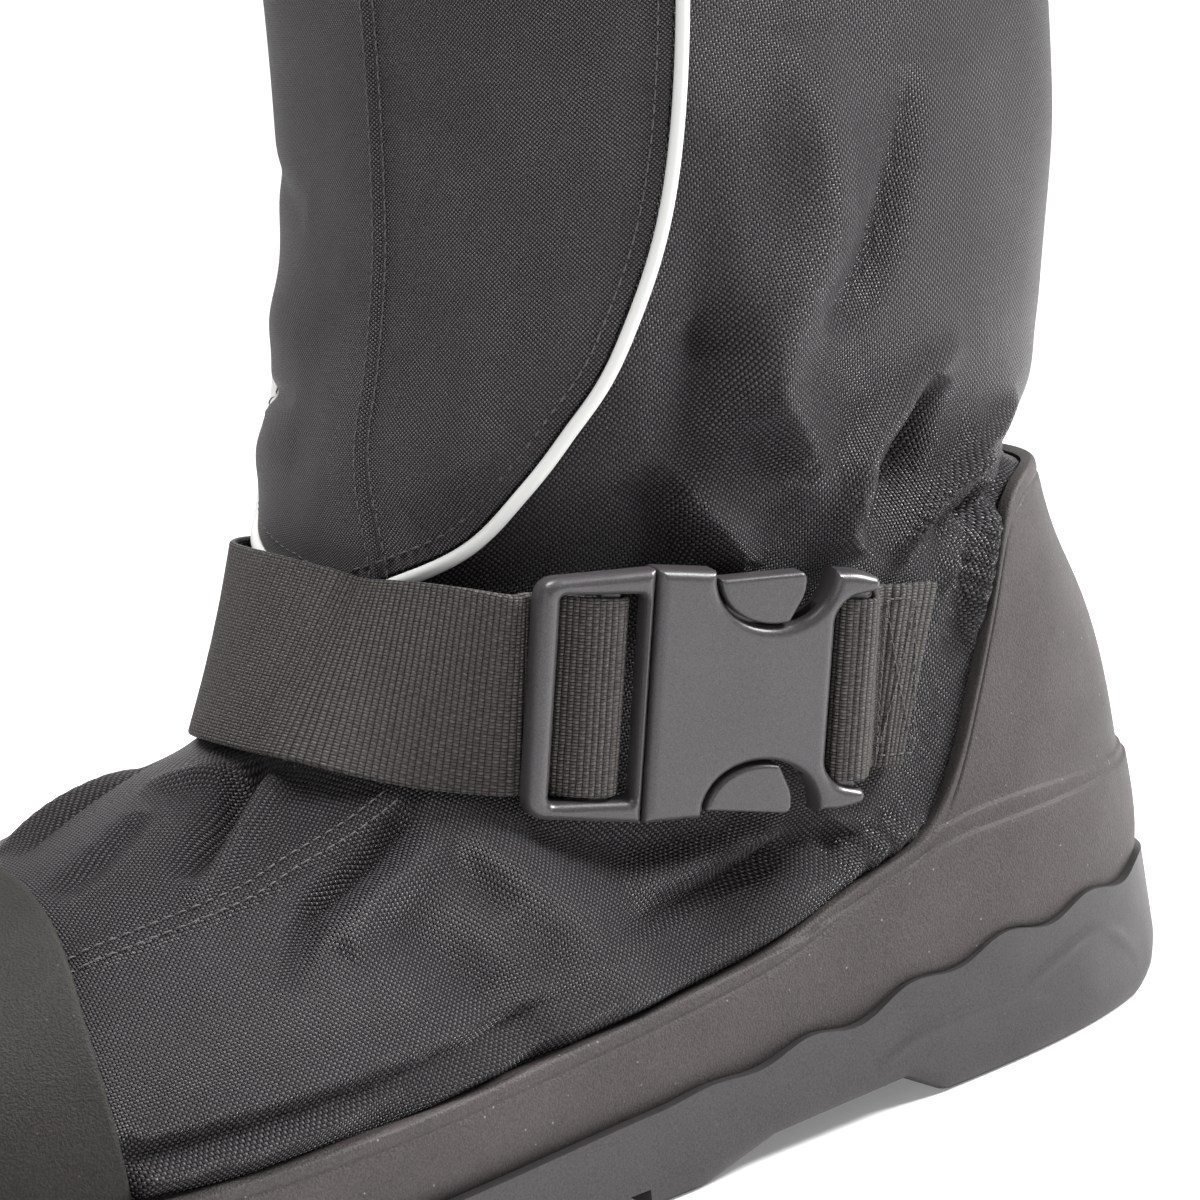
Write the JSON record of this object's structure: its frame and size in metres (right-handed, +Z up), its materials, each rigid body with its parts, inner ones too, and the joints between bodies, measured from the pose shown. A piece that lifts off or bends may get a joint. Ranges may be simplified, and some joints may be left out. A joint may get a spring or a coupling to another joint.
{
  "type": "winter overshoe",
  "caption": "Tall winter overshoe for the left foot: woven nylon shaft and vamp in a moulded sole cup, with an instep strap and side-release buckle.",
  "frame": {"origin": "on the floor under the middle of the heel, on the heel's flat tread", "axes": "+X to the toe, +Y to the outer side of the left foot, +Z up the shaft"},
  "size_m": [0.3538, 0.1388, 0.2991],
  "materials": {
    "nylon": "woven, slight sheen",
    "fine_nylon": "fine weave, matt",
    "webbing": "ribbed",
    "buckle_plastic": "satin",
    "moulding": "speckled, matt",
    "tread": "matt",
    "piping": "smooth",
    "footbed": "felted"
  },
  "bodies": {
    "root": {"upper": "nylon", "front_flap": "fine_nylon", "flap_piping": "piping", "toe_cap": "moulding", "midsole_cup": "moulding", "outsole": "tread", "insole": "footbed", "strap_long": "webbing", "strap_short": "webbing", "buckle_male": "buckle_plastic", "buckle_female": "buckle_plastic"}
  },
  "joints": []
}
